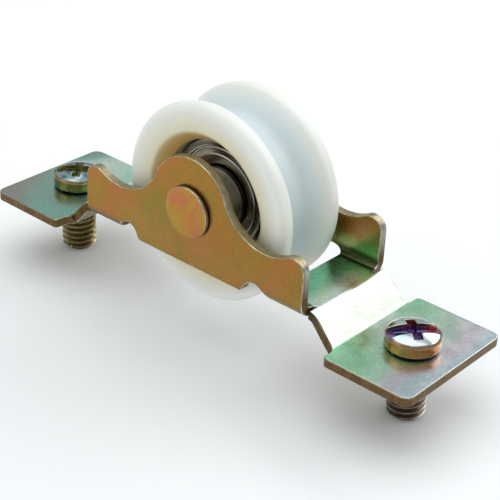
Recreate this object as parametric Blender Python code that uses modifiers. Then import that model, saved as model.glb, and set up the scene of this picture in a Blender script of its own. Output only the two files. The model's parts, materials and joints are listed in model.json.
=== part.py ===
"""A sliding door roller: a grooved nylon wheel on a ball bearing, carried between the two cheeks
of a folded steel bracket whose end tabs are fastened by two machine screws.

Units are metres. X runs along the bracket, Y along the axle and Z up. The origin is midway
between the two screws, in the plane of the tabs' undersides.
"""

import math

import bmesh
import bpy
from mathutils import Vector

OBJECT_NAME = "sliding_door_roller"
MM = 0.001

# Driving dimensions of the bracket
SHEET = 1.5 * MM
HALF_LENGTH = 43.5 * MM
TAB_HALF_WIDTH = 11.75 * MM
TAB_LENGTH = 15.2 * MM
TAB_OUTER_CORNER = 1.5 * MM
TAB_INNER_CORNER = 0.8 * MM
SCREW_X = 35.7 * MM
WEB_HALF_WIDTH = 8.8 * MM
WEB_FILLET = 1.3 * MM
WEB_SLOPE = math.radians(49)
BASE_RISE = 4.1 * MM
CHEEK_OUTSIDE = 9.9 * MM
CHEEK_HALF_LENGTH = 22.6 * MM
BEND_INSIDE = 1.0 * MM
SLIT_WIDTH = 0.5 * MM
SLIT_DEPTH = 0.2 * MM
WINDOW_HALF_LENGTH = 15.7 * MM
RELIEF_RADIUS = 2.3 * MM
CHEEK_FOOT = 4.15 * MM
HORN_TOP = 13.7 * MM
HORN_RADIUS = 2.2 * MM
HUMP_RADIUS = 7.6 * MM
HUMP_OVER_AXLE = 1.2 * MM
VALLEY_RADIUS = 8.6 * MM

# Driving dimensions of the running parts
AXLE_Z = 13.5 * MM
PIN_RADIUS = 2.85 * MM
RIVET_HEAD_RADIUS = 4.2 * MM
RIVET_HEAD = 0.7 * MM
WHEEL_RADIUS = 16.0 * MM
WHEEL_HALF_WIDTH = 7.0 * MM
GROOVE_RADIUS = 12.6 * MM
BEARING_RADIUS = 9.35 * MM
BEARING_HALF_WIDTH = 3.0 * MM
PITCH_RADIUS = 6.25 * MM
BALL_RADIUS = 1.6 * MM
RACE_RADIUS = 1.85 * MM
BALL_COUNT = 7
SHOULDER_OFFSET = 1.3 * MM
RING_CHAMFER = 0.3 * MM
SHIELD_SEAT_RADIUS = 8.2 * MM
SHIELD_SEAT_DEPTH = 0.75 * MM
SHIELD_STEP_RADIUS = 6.8 * MM
SHIELD_THICKNESS = 0.35 * MM
CAGE_HALF_BAND = 0.5 * MM
CAGE_SHEET = 0.35 * MM
CAGE_SPLIT = 0.1 * MM
POCKET_RADIUS = 1.8 * MM
SPACER_RADIUS = 4.9 * MM

# Driving dimensions of the screws
THREAD_RADIUS = 3.0 * MM
SCREW_LENGTH = 12.0 * MM
HEAD_RADIUS = 4.2 * MM
HEAD_HEIGHT = 2.8 * MM
SLOT_WIDTH = 2.4 * MM
SLOT_DEPTH = 1.2 * MM
CROSS_WIDTH = 1.4 * MM
CROSS_LENGTH = 5.4 * MM
CROSS_DEPTH = 1.9 * MM
SLOT_TURNS = {"left": math.radians(38), "right": math.radians(51)}

# Fits
GAP = 0.3 * MM
HEAD_GAP = 0.15 * MM

# Worked out from the driving dimensions
HALF_SHEET = SHEET / 2
BEND_MIDDLE = BEND_INSIDE + HALF_SHEET
BEND_OUTSIDE = BEND_INSIDE + SHEET
BEND_START = CHEEK_OUTSIDE - BEND_OUTSIDE
BEND_ARC = BEND_MIDDLE * math.pi / 2
CHEEK_START = BEND_START + BEND_ARC
BEND_CENTRE_Z = BASE_RISE + BEND_OUTSIDE
BLANK_OVER_Z = CHEEK_START - BEND_CENTRE_Z
CHEEK_INSIDE = CHEEK_OUTSIDE - SHEET
JOG_ARC = BEND_MIDDLE * WEB_SLOPE
JOG_RUN = BEND_MIDDLE * math.sin(WEB_SLOPE)
JOG_DROP = BEND_MIDDLE * (1 - math.cos(WEB_SLOPE))
JOG_STRAIGHT = (BASE_RISE - 2 * JOG_DROP) / math.sin(WEB_SLOPE)
JOG_LENGTH = 2 * JOG_RUN + JOG_STRAIGHT * math.cos(WEB_SLOPE)
TAB_START = HALF_LENGTH - TAB_LENGTH
JOG_START = TAB_START - JOG_LENGTH
JOG_BLANK = 2 * JOG_ARC + JOG_STRAIGHT
BLANK_EXTRA = JOG_BLANK - JOG_LENGTH


def clear_scene():
    for obj in list(bpy.data.objects):
        bpy.data.objects.remove(obj, do_unlink=True)


def new_collection(name, helpers=False):
    collection = bpy.data.collections.new(name)
    collection.hide_render = helpers
    bpy.context.scene.collection.children.link(collection)
    return collection


def material(name, colour, roughness, metallic):
    made = bpy.data.materials.new(name)
    made.use_nodes = True
    shader = made.node_tree.nodes["Principled BSDF"]
    shader.inputs["Base Color"].default_value = (*colour, 1.0)
    shader.inputs["Roughness"].default_value = roughness
    shader.inputs["Metallic"].default_value = metallic
    made.diffuse_color = (*colour, 1.0)
    return made


def add_object(name, mesh, collection, finish=None):
    obj = bpy.data.objects.new(name, mesh)
    collection.objects.link(obj)
    if finish is not None:
        mesh.materials.append(finish)
    return obj


def arc(centre, radius, start, end, steps):
    """Points on a circle, from one angle to another in radians, both ends included."""
    turns = [start + (end - start) * i / steps for i in range(steps + 1)]
    return [(centre[0] + radius * math.cos(t), centre[1] + radius * math.sin(t)) for t in turns]


def angle_between(start, end):
    return math.atan2(end[1] - start[1], end[0] - start[0])


def centre_touching(first, first_distance, second, second_distance):
    """The point at the given distances from two others, on the left going from first to second."""
    span = math.dist(first, second)
    along = (first_distance**2 - second_distance**2 + span**2) / (2 * span)
    across = math.sqrt(first_distance**2 - along**2)
    ux = (second[0] - first[0]) / span
    uy = (second[1] - first[1]) / span
    return (first[0] + along * ux - across * uy, first[1] + along * uy + across * ux)


def mirrored_loop(quarter):
    """A closed outline from its first quarter, which runs from the Y axis to the X axis."""
    half = quarter + [(x, -y) for x, y in reversed(quarter)]
    loop = half + [(-x, y) for x, y in reversed(half)]
    return [p for i, p in enumerate(loop) if math.dist(p, loop[i - 1]) > 0.001 * MM]


def plate_mesh(name, loops, thickness):
    """A flat plate with the outlines and holes in loops, centred on Z = 0, as a mesh."""
    curve = bpy.data.curves.new(name, "CURVE")
    curve.dimensions = "2D"
    curve.fill_mode = "BOTH"
    curve.extrude = thickness / 2
    for loop in loops:
        spline = curve.splines.new("POLY")
        spline.points.add(len(loop) - 1)
        spline.use_cyclic_u = True
        for point, (x, y) in zip(spline.points, loop):
            point.co = (x, y, 0, 1)
    obj = bpy.data.objects.new(name, curve)
    bpy.context.scene.collection.objects.link(obj)
    evaluated = obj.evaluated_get(bpy.context.evaluated_depsgraph_get())
    mesh = bpy.data.meshes.new_from_object(evaluated)
    bpy.data.objects.remove(obj, do_unlink=True)
    weld_mesh(mesh)
    return mesh


def weld_mesh(mesh):
    work = bmesh.new()
    work.from_mesh(mesh)
    bmesh.ops.remove_doubles(work, verts=work.verts, dist=0.001 * MM)
    bmesh.ops.recalc_face_normals(work, faces=work.faces)
    work.to_mesh(mesh)
    work.free()


def smooth_round_faces(mesh, sharp_degrees=35):
    mesh.shade_smooth()
    mesh.set_sharp_from_angle(angle=math.radians(sharp_degrees))


def turned(name, profile, segments, collection, finish, closed=True):
    """A part turned round the axle from (radius, place along Y) points, outer side first, and
    from the -Y end to the +Y end."""
    mesh = bpy.data.meshes.new(name)
    count = len(profile)
    edges = [(i, i + 1) for i in range(count - 1)]
    if closed:
        edges.append((count - 1, 0))
    mesh.from_pydata([(radius, 0, -along) for radius, along in profile], edges, [])
    obj = add_object(name, mesh, collection, finish)
    screw = obj.modifiers.new("turn", "SCREW")
    screw.steps = segments
    screw.render_steps = segments
    screw.use_merge_vertices = True
    screw.merge_threshold = 0.00001
    screw.use_smooth_shade = True
    obj.location = (0, 0, AXLE_Z)
    obj.rotation_euler = (math.pi / 2, 0, 0)
    return obj


def on_side(profile, side):
    """A profile given for the +Y side, put on the side asked for, still outer side first."""
    return profile if side > 0 else [(radius, -y) for radius, y in reversed(profile)]


def cut(obj, cutter, operation="DIFFERENCE"):
    modifier = obj.modifiers.new(operation.lower() + "_" + cutter.name, "BOOLEAN")
    modifier.operation = operation
    modifier.solver = "EXACT"
    modifier.object = cutter


def helper(obj):
    obj.hide_render = True
    obj.display_type = "WIRE"
    return obj


# The bracket: a flat blank, cut out first and then folded


def over_blank(z):
    """How far across the blank lies what ends up at height z on a cheek."""
    return z + BLANK_OVER_Z


def cheek_outline():
    """A quarter of the cheek's top edge on the blank: hump, valley, horn and straight end."""
    hump = (0.0, over_blank(AXLE_Z + HUMP_OVER_AXLE))
    horn = (CHEEK_HALF_LENGTH - HORN_RADIUS, over_blank(HORN_TOP - HORN_RADIUS))
    valley = centre_touching(hump, HUMP_RADIUS + VALLEY_RADIUS, horn, HORN_RADIUS + VALLEY_RADIUS)
    to_valley = angle_between(hump, valley)
    to_horn = angle_between(valley, horn)
    points = arc(hump, HUMP_RADIUS, math.pi / 2, to_valley, 7)
    points += arc(valley, VALLEY_RADIUS, to_valley - math.pi, to_horn, 9)[1:]
    points += arc(horn, HORN_RADIUS, to_horn + math.pi, 0, 6)[1:]
    return points


def blank_outline():
    """The blank's outer edge: cheek, slit, web and tab."""
    slit_end = BEND_START - SLIT_DEPTH
    slit_far = CHEEK_HALF_LENGTH + SLIT_WIDTH
    shoulder = TAB_START + BLANK_EXTRA
    end = HALF_LENGTH + BLANK_EXTRA
    fillet = (shoulder - WEB_FILLET, WEB_HALF_WIDTH + WEB_FILLET)
    inner = (shoulder + TAB_INNER_CORNER, TAB_HALF_WIDTH - TAB_INNER_CORNER)
    outer = (end - TAB_OUTER_CORNER, TAB_HALF_WIDTH - TAB_OUTER_CORNER)
    points = cheek_outline()
    points += [(CHEEK_HALF_LENGTH, slit_end), (slit_far, slit_end), (slit_far, WEB_HALF_WIDTH)]
    points += arc(fillet, WEB_FILLET, -math.pi / 2, 0, 4)
    points += arc(inner, TAB_INNER_CORNER, math.pi, math.pi / 2, 3)
    points += arc(outer, TAB_OUTER_CORNER, math.pi / 2, 0, 4)
    return mirrored_loop(points + [(end, 0)])


def window_outline():
    """The wheel's window, with a round relief where each cheek's bend begins."""
    foot = over_blank(CHEEK_FOOT)
    relief = (WINDOW_HALF_LENGTH - RELIEF_RADIUS, foot)
    points = [(0, foot)]
    points += arc(relief, RELIEF_RADIUS, math.pi, 0, 10)
    return mirrored_loop(points + [(WINDOW_HALF_LENGTH, 0)])


def round_hole(centre, radius):
    return arc(centre, radius, 0, 2 * math.pi, 20)[:-1]


def bracket_blank():
    screw_x = SCREW_X + BLANK_EXTRA
    axle_y = over_blank(AXLE_Z)
    loops = [blank_outline(), window_outline()]
    loops += [round_hole((side * screw_x, 0), THREAD_RADIUS + GAP) for side in (-1, 1)]
    loops += [round_hole((0, side * axle_y), PIN_RADIUS + GAP) for side in (-1, 1)]
    return plate_mesh("bracket", loops, SHEET)


def cut_at_bends(mesh, cheek_steps=5, jog_steps=3):
    """Adds edges across the blank wherever a bend starts, turns or ends."""
    work = bmesh.new()
    work.from_mesh(mesh)
    cheek_lines = [BEND_START + BEND_ARC * i / cheek_steps for i in range(cheek_steps + 1)]
    bend_starts = (JOG_START, JOG_START + JOG_ARC + JOG_STRAIGHT)
    jog_lines = [s + JOG_ARC * i / jog_steps for s in bend_starts for i in range(jog_steps + 1)]
    lines = [((0, 1, 0), y) for y in cheek_lines] + [((1, 0, 0), x) for x in jog_lines]
    for normal, distance in lines:
        for side in (-1, 1):
            geometry = work.verts[:] + work.edges[:] + work.faces[:]
            place = Vector(normal) * distance * side
            bmesh.ops.bisect_plane(work, geom=geometry, plane_co=place, plane_no=normal)
    work.to_mesh(mesh)
    work.free()


def fold_cheek(along, across, height):
    """Where a point of the blank goes as its cheek is folded up."""
    side = math.copysign(1, across)
    reach = abs(across)
    window_part = abs(along) < WINDOW_HALF_LENGTH - RELIEF_RADIUS
    if reach >= CHEEK_START or (window_part and reach > BEND_START):
        y = CHEEK_OUTSIDE - HALF_SHEET - height
        return (along, side * y, reach - BLANK_OVER_Z)
    if reach <= BEND_START:
        return (along, across, BASE_RISE + HALF_SHEET + height)
    turn = (reach - BEND_START) / BEND_MIDDLE
    radius = BEND_MIDDLE - height
    y = BEND_START + radius * math.sin(turn)
    return (along, side * y, BEND_CENTRE_Z - radius * math.cos(turn))


def fold_web(along, across, height):
    """Where a point of the blank goes as the web is jogged down to the tab."""
    side = math.copysign(1, along)
    reach = abs(along) - JOG_START
    low = JOG_BLANK - reach
    drop = BASE_RISE - JOG_DROP
    if reach <= 0:
        x, z = reach, BASE_RISE + height
    elif reach < JOG_ARC:
        turn = reach / BEND_MIDDLE
        x = (BEND_MIDDLE + height) * math.sin(turn)
        z = BASE_RISE - BEND_MIDDLE + (BEND_MIDDLE + height) * math.cos(turn)
    elif reach <= JOG_ARC + JOG_STRAIGHT:
        slope = reach - JOG_ARC
        x = JOG_RUN + slope * math.cos(WEB_SLOPE) + height * math.sin(WEB_SLOPE)
        z = drop - slope * math.sin(WEB_SLOPE) + height * math.cos(WEB_SLOPE)
    elif reach < JOG_BLANK:
        turn = low / BEND_MIDDLE
        x = JOG_LENGTH - (BEND_MIDDLE - height) * math.sin(turn)
        z = BEND_MIDDLE - (BEND_MIDDLE - height) * math.cos(turn)
    else:
        x, z = reach - BLANK_EXTRA, height
    return (side * (JOG_START + x), across, z + HALF_SHEET)


def make_bracket(collection, finish):
    mesh = bracket_blank()
    cut_at_bends(mesh)
    cheek_end = CHEEK_HALF_LENGTH + SLIT_WIDTH / 2
    for vertex in mesh.vertices:
        fold = fold_cheek if abs(vertex.co.x) < cheek_end else fold_web
        vertex.co = fold(*vertex.co)
    weld_mesh(mesh)
    smooth_round_faces(mesh)
    return add_object("bracket", mesh, collection, finish)


# The wheel and what turns with it


def wheel_profile():
    """The wheel's section as (radius, along), down the rim and back through the bore."""
    rim = 1.3 * MM
    lip = 0.5 * MM
    land = 4.6 * MM
    floor = 1.9 * MM
    recess = 11.3 * MM
    recess_y = 6.5 * MM
    bore_end = 4.4 * MM
    shoulder = BEARING_HALF_WIDTH + GAP
    bore = BEARING_RADIUS + GAP
    edge = arc((WHEEL_HALF_WIDTH - rim, WHEEL_RADIUS - rim), rim, 0, math.pi / 2, 4)
    half = [(recess + lip, recess_y + lip / 2)]
    half += [(radius, y) for y, radius in edge]
    half += [(WHEEL_RADIUS, land), (WHEEL_RADIUS - lip, land - lip)]
    half += [(GROOVE_RADIUS + lip, floor + lip / 2), (GROOVE_RADIUS, floor - lip)]
    outer = [(radius, -y) for radius, y in half] + list(reversed(half))
    stop = bore - MM
    far = [(recess, recess_y), (stop, bore_end), (stop, shoulder), (bore, shoulder)]
    near = [(bore, -bore_end), (recess, -recess_y)]
    return outer + far + near


def make_wheel(collection, finish):
    return turned("wheel", wheel_profile(), 44, collection, finish)


def race_arc(side, steps=4):
    """The ball groove's arc of a ring, seen from the ring: side is 1 outside the balls, -1 inside."""
    reach = math.acos(SHOULDER_OFFSET / RACE_RADIUS)
    points = arc((0, 0), RACE_RADIUS, -reach, reach, steps)
    return [(PITCH_RADIUS + side * x, y) for x, y in points]


def make_outer_ring(collection, finish):
    width = BEARING_HALF_WIDTH
    seat = width - SHIELD_SEAT_DEPTH
    land = PITCH_RADIUS + SHOULDER_OFFSET
    outside = [(BEARING_RADIUS - RING_CHAMFER, -width), (BEARING_RADIUS, -width + RING_CHAMFER)]
    outside += [(BEARING_RADIUS, width - RING_CHAMFER), (BEARING_RADIUS - RING_CHAMFER, width)]
    inside = [(SHIELD_SEAT_RADIUS, width), (SHIELD_SEAT_RADIUS, seat), (land, seat)]
    inside += list(reversed(race_arc(1)))
    inside += [(land, -seat), (SHIELD_SEAT_RADIUS, -seat), (SHIELD_SEAT_RADIUS, -width)]
    return turned("bearing_outer_ring", outside + inside, 32, collection, finish)


def make_inner_ring(collection, finish):
    width = BEARING_HALF_WIDTH
    land = PITCH_RADIUS - SHOULDER_OFFSET
    bore = PIN_RADIUS + GAP
    outside = [(land, -width)] + race_arc(-1) + [(land, width)]
    inside = [(bore + RING_CHAMFER, width), (bore, width - RING_CHAMFER)]
    inside += [(bore, -width + RING_CHAMFER), (bore + RING_CHAMFER, -width)]
    return turned("bearing_inner_ring", outside + inside, 28, collection, finish)


def make_shield(name, side, collection, finish):
    """A pressed ring whose inner part is stepped in towards the balls."""
    face = BEARING_HALF_WIDTH - 0.1 * MM
    step = 0.12 * MM
    outer = SHIELD_SEAT_RADIUS - GAP
    middle = SHIELD_STEP_RADIUS
    inner = PITCH_RADIUS - SHOULDER_OFFSET + GAP
    front = [(outer, face), (middle, face), (middle - step, face - step), (inner, face - step)]
    back = [(radius, y - SHIELD_THICKNESS) for radius, y in reversed(front)]
    return turned(name, on_side(front + back, side), 30, collection, finish)


def ball_place(i):
    turn = math.pi / 2 + 2 * math.pi * i / BALL_COUNT
    return Vector((PITCH_RADIUS * math.cos(turn), 0, AXLE_Z + PITCH_RADIUS * math.sin(turn)))


def sphere(name, radius, centre, collection, finish=None):
    mesh = bpy.data.meshes.new(name)
    work = bmesh.new()
    bmesh.ops.create_uvsphere(work, u_segments=12, v_segments=8, radius=radius)
    work.to_mesh(mesh)
    work.free()
    mesh.shade_smooth()
    ball = add_object(name, mesh, collection, finish)
    ball.location = centre
    return ball


def band(name, half_width, ends, side, collection, finish=None):
    """A flat ring round the balls' pitch circle, between two places along the axle."""
    inner, outer = PITCH_RADIUS - half_width, PITCH_RADIUS + half_width
    profile = [(outer, ends[0]), (outer, ends[1]), (inner, ends[1]), (inner, ends[0])]
    return turned(name, on_side(profile, side), 28, collection, finish)


def make_cage_half(name, side, collection, cutters, finish):
    """Half of the ribbon cage: a flat ring that bulges over each ball."""
    bulge = POCKET_RADIUS + CAGE_SHEET
    spare = 0.05 * MM
    ring_ends = (CAGE_SPLIT - spare, CAGE_SPLIT + CAGE_SHEET)
    ring = band(name, CAGE_HALF_BAND + spare, ring_ends, side, collection, finish)
    room = band(name + "_room", CAGE_HALF_BAND, (CAGE_SPLIT, bulge + MM), side, cutters)
    helper(room)
    for i in range(BALL_COUNT):
        shell = sphere(f"{name}_shell_{i + 1}", bulge, ball_place(i), cutters)
        cut(ring, helper(shell), "UNION")
    cut(ring, room, "INTERSECT")
    for i in range(BALL_COUNT):
        pocket = sphere(f"{name}_pocket_{i + 1}", POCKET_RADIUS, ball_place(i), cutters)
        cut(ring, helper(pocket))
    return ring


# The axle


def make_spacer(name, side, collection, finish):
    """A collar between a cheek and the bearing's inner ring, chamfered at the ring."""
    bore = PIN_RADIUS + GAP
    chamfer = 0.2 * MM
    ring_end = BEARING_HALF_WIDTH + HEAD_GAP
    cheek_end = CHEEK_INSIDE - HEAD_GAP
    outer = [(SPACER_RADIUS - chamfer, ring_end), (SPACER_RADIUS, ring_end + chamfer)]
    outer += [(SPACER_RADIUS, cheek_end)]
    inner = [(bore, cheek_end), (bore, ring_end)]
    return turned(name, on_side(outer + inner, side), 28, collection, finish)


def make_rivet(collection, finish):
    """A plain pin with a flat, round-edged head at each end."""
    under = CHEEK_OUTSIDE + HEAD_GAP
    face = under + RIVET_HEAD
    edge = 0.2 * MM
    half = [(0, face), (RIVET_HEAD_RADIUS - edge, face), (RIVET_HEAD_RADIUS, face - edge)]
    half += [(RIVET_HEAD_RADIUS, under), (PIN_RADIUS, under)]
    profile = [(radius, -y) for radius, y in half] + list(reversed(half))
    return turned("axle_rivet", profile, 28, collection, finish, closed=False)


# The screws


def screw_mesh(name):
    """The screw's section, head up, with the underside of its head at Z = 0."""
    tip_chamfer = 0.7 * MM
    rim = 0.2 * MM
    crown_edge = HEAD_RADIUS - 0.5 * MM
    side_top = HEAD_HEIGHT - 0.8 * MM
    profile = [(0, HEAD_HEIGHT), (HEAD_RADIUS / 2, HEAD_HEIGHT - rim / 2)]
    profile += [(crown_edge, side_top + 2 * rim), (HEAD_RADIUS, side_top)]
    profile += [(HEAD_RADIUS, rim), (HEAD_RADIUS - rim, 0), (THREAD_RADIUS, 0)]
    profile += [(THREAD_RADIUS, tip_chamfer - SCREW_LENGTH)]
    profile += [(THREAD_RADIUS - tip_chamfer, -SCREW_LENGTH), (0, -SCREW_LENGTH)]
    mesh = bpy.data.meshes.new(name)
    edges = [(i, i + 1) for i in range(len(profile) - 1)]
    mesh.from_pydata([(radius, 0, z) for radius, z in profile], edges, [])
    return mesh


def box_cutter(name, size, centre, turn, collection):
    mesh = bpy.data.meshes.new(name)
    work = bmesh.new()
    bmesh.ops.create_cube(work, size=1)
    bmesh.ops.scale(work, vec=size, verts=work.verts)
    work.to_mesh(mesh)
    work.free()
    box = helper(add_object(name, mesh, collection))
    box.location = centre
    box.rotation_euler = (0, 0, turn)
    return box


def make_screw(side_name, side, collection, cutters, finish):
    """A crowned head with a slot right across it, and a cross recess sunk deeper in its middle."""
    name = "screw_" + side_name
    under_head = SHEET + GAP
    screw = add_object(name, screw_mesh(name), collection, finish)
    turn = screw.modifiers.new("turn", "SCREW")
    turn.steps = 32
    turn.render_steps = 32
    turn.use_merge_vertices = True
    turn.merge_threshold = 0.00001
    turn.use_smooth_shade = True
    screw.location = (side * SCREW_X, 0, under_head)
    top = (side * SCREW_X, 0, under_head + HEAD_HEIGHT)
    sizes = {
        "slot": (3 * HEAD_RADIUS, SLOT_WIDTH, 2 * SLOT_DEPTH),
        "cross_along": (CROSS_LENGTH, CROSS_WIDTH, 2 * CROSS_DEPTH),
        "cross_over": (CROSS_WIDTH, CROSS_LENGTH, 2 * CROSS_DEPTH),
    }
    for part, size in sizes.items():
        cut(screw, box_cutter(f"{name}_{part}", size, top, SLOT_TURNS[side_name], cutters))


def main():
    clear_scene()
    parts = new_collection(OBJECT_NAME)
    cutters = new_collection("cutters", helpers=True)
    zinc = material("yellow_zinc_steel", (0.52, 0.36, 0.16), 0.32, 1.0)
    nylon = material("white_nylon", (0.82, 0.84, 0.80), 0.38, 0.0)
    bearing_steel = material("bearing_steel", (0.20, 0.19, 0.18), 0.30, 1.0)
    cage_steel = material("cage_steel", (0.45, 0.45, 0.44), 0.40, 1.0)
    screw_steel = material("bright_zinc_screw", (0.62, 0.56, 0.45), 0.16, 1.0)
    collar_steel = material("grey_collar_steel", (0.34, 0.34, 0.33), 0.45, 1.0)
    make_bracket(parts, zinc)
    make_wheel(parts, nylon)
    make_outer_ring(parts, bearing_steel)
    make_inner_ring(parts, bearing_steel)
    for i in range(BALL_COUNT):
        sphere(f"ball_{i + 1}", BALL_RADIUS, ball_place(i), parts, bearing_steel)
    for name, side in (("near", -1), ("far", 1)):
        make_shield("shield_" + name, side, parts, bearing_steel)
        make_cage_half("cage_half_" + name, side, parts, cutters, cage_steel)
        make_spacer("spacer_" + name, side, parts, collar_steel)
    make_rivet(parts, zinc)
    for name, side in (("left", -1), ("right", 1)):
        make_screw(name, side, parts, cutters, screw_steel)


main()
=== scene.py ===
"""The visible pieces of a sliding door roller, built round its CAD frame: a folded, yellow-plated
steel bracket, a grooved nylon wheel on a shielded ball bearing, a rivet for an axle and two screws.

Units are metres, in the frame's axes: X along the bracket, Y along the axle and Z up, from the
point midway between the screws in the plane of the tabs' undersides.
"""

import json
from math import acos, atan2, copysign, cos, dist, exp, hypot, pi, radians, sin, sqrt, tau

import bmesh
import bpy
from mathutils import Matrix, Vector
from mathutils.geometry import delaunay_2d_cdt

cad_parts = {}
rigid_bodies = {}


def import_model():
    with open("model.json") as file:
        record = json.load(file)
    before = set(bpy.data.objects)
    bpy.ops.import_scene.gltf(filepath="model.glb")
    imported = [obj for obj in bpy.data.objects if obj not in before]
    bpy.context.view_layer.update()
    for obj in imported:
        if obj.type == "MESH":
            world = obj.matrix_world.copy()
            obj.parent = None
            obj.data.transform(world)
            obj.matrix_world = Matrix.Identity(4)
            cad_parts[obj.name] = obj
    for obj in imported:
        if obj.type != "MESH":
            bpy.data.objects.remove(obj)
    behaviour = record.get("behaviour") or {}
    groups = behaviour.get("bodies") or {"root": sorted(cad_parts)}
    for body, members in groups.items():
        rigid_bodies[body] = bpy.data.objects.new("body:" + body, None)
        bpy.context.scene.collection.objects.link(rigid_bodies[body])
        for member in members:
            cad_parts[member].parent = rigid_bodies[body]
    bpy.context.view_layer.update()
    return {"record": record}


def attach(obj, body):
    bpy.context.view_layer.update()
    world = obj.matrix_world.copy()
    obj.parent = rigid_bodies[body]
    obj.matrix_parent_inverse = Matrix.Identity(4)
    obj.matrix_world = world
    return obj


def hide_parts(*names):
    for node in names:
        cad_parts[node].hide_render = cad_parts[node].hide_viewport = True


MM = 0.001

# The bracket's sheet, folded from a flat blank
SHEET = 1.5 * MM
EDGE_ROUNDING = 0.2 * MM
HALF_LENGTH = 43.5 * MM
TAB_HALF_WIDTH = 11.75 * MM
TAB_LENGTH = 15.2 * MM
TAB_OUTER_CORNER = 1.5 * MM
TAB_INNER_CORNER = 0.8 * MM
SCREW_X = 35.7 * MM
WEB_HALF_WIDTH = 8.8 * MM
WEB_FILLET = 1.3 * MM
WEB_SLOPE = radians(49)
BASE_RISE = 4.1 * MM
CHEEK_OUTSIDE = 9.9 * MM
CHEEK_HALF_LENGTH = 22.6 * MM
BEND_INSIDE = 1.0 * MM
SLIT_WIDTH = 0.5 * MM
SLIT_DEPTH = 0.2 * MM
WINDOW_HALF_LENGTH = 15.7 * MM
RELIEF_RADIUS = 2.3 * MM
CHEEK_FOOT = 4.15 * MM
HORN_TOP = 13.7 * MM
HORN_RADIUS = 2.2 * MM
HUMP_RADIUS = 7.6 * MM
HUMP_OVER_AXLE = 1.2 * MM
VALLEY_RADIUS = 8.6 * MM
CHEEK_BEND_STEPS = 12
JOG_BEND_STEPS = 8

# The running parts
AXLE_Z = 13.5 * MM
PIN_RADIUS = 2.85 * MM
RIVET_HEAD_RADIUS = 4.2 * MM
RIVET_HEAD = 0.7 * MM
WHEEL_RADIUS = 16.0 * MM
WHEEL_HALF_WIDTH = 7.0 * MM
GROOVE_RADIUS = 12.6 * MM
BEARING_RADIUS = 9.35 * MM
BEARING_HALF_WIDTH = 3.0 * MM
PITCH_RADIUS = 6.25 * MM
BALL_RADIUS = 1.6 * MM
RACE_RADIUS = 1.85 * MM
BALL_COUNT = 7
SHOULDER_OFFSET = 1.3 * MM
SHIELD_SEAT_RADIUS = 8.2 * MM
SHIELD_SEAT_DEPTH = 0.75 * MM
SHIELD_STEP_RADIUS = 6.8 * MM
SHIELD_THICKNESS = 0.35 * MM
CAGE_HALF_BAND = 0.5 * MM
CAGE_SHEET = 0.35 * MM
CAGE_SPLIT = 0.1 * MM
POCKET_RADIUS = 1.8 * MM
SPACER_RADIUS = 4.9 * MM

# The screws
THREAD_RADIUS = 3.0 * MM
THREAD_PITCH = 1.0 * MM
THREAD_DEPTH = 0.58 * MM
TIP_CHAMFER = 0.7 * MM
SCREW_LENGTH = 12.0 * MM
HEAD_RADIUS = 4.2 * MM
HEAD_HEIGHT = 2.8 * MM
HEAD_SIDE = 2.05 * MM
HEAD_SHOULDER = 0.5 * MM
HEAD_FOOT = 0.25 * MM
CROWN_POWER = 2.4
SLOT_WIDTH = 2.4 * MM
SLOT_DEPTH = 1.2 * MM
CROSS_WIDTH = 1.4 * MM
CROSS_LENGTH = 5.4 * MM
CROSS_DEPTH = 1.9 * MM
CROSS_END_TAPER = 0.3
RECESS_ROUNDING = 0.12 * MM
RECESS_DRAFT = 0.12 * MM
SLOT_TURNS = {"left": radians(38), "right": radians(51)}

# Fits
GAP = 0.3 * MM
HEAD_GAP = 0.15 * MM

# Each steel's dark and light shades, roughness range, depth of turning lines and ridges where a
# bright highlight is painted
GROUND = 0.003 * MM
LAPPED = 0.0005 * MM
RING_GLINT_RIDGES = (SHIELD_SEAT_RADIUS, BEARING_RADIUS - 0.15 * MM)
SHIELD_GLINT_RIDGES = (SHIELD_STEP_RADIUS, SHIELD_SEAT_RADIUS - 0.27 * MM)
STEELS = {
    # The bearing and shield steels' dark brown shades are painted shade and painted dark reflection
    # from inside the wheel's pocket
    "bearing_steel": ((0.075, 0.06, 0.044), (0.15, 0.125, 0.095), (0.2, 0.32), GROUND, RING_GLINT_RIDGES),
    "shield_steel": ((0.2, 0.17, 0.12), (0.36, 0.32, 0.24), (0.22, 0.34), GROUND, SHIELD_GLINT_RIDGES),
    "cage_steel": ((0.42, 0.42, 0.41), (0.56, 0.56, 0.55), (0.3, 0.42), GROUND, ()),
    "ball_steel": ((0.62, 0.62, 0.62), (0.7, 0.7, 0.7), (0.05, 0.09), LAPPED, ()),
    "collar_steel": ((0.56, 0.58, 0.57), (0.76, 0.78, 0.77), (0.32, 0.46), GROUND, ()),
}

# Worked out from the sizes above
HALF_SHEET = SHEET / 2
BEND_MIDDLE = BEND_INSIDE + HALF_SHEET
BEND_OUTSIDE = BEND_INSIDE + SHEET
BEND_START = CHEEK_OUTSIDE - BEND_OUTSIDE
BEND_ARC = BEND_MIDDLE * pi / 2
CHEEK_START = BEND_START + BEND_ARC
BEND_CENTRE_Z = BASE_RISE + BEND_OUTSIDE
BLANK_OVER_Z = CHEEK_START - BEND_CENTRE_Z
CHEEK_INSIDE = CHEEK_OUTSIDE - SHEET
JOG_ARC = BEND_MIDDLE * WEB_SLOPE
JOG_RUN = BEND_MIDDLE * sin(WEB_SLOPE)
JOG_DROP = BEND_MIDDLE * (1 - cos(WEB_SLOPE))
JOG_STRAIGHT = (BASE_RISE - 2 * JOG_DROP) / sin(WEB_SLOPE)
JOG_LENGTH = 2 * JOG_RUN + JOG_STRAIGHT * cos(WEB_SLOPE)
TAB_START = HALF_LENGTH - TAB_LENGTH
JOG_START = TAB_START - JOG_LENGTH
JOG_BLANK = 2 * JOG_ARC + JOG_STRAIGHT
BLANK_EXTRA = JOG_BLANK - JOG_LENGTH


# Outlines and meshes


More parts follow.
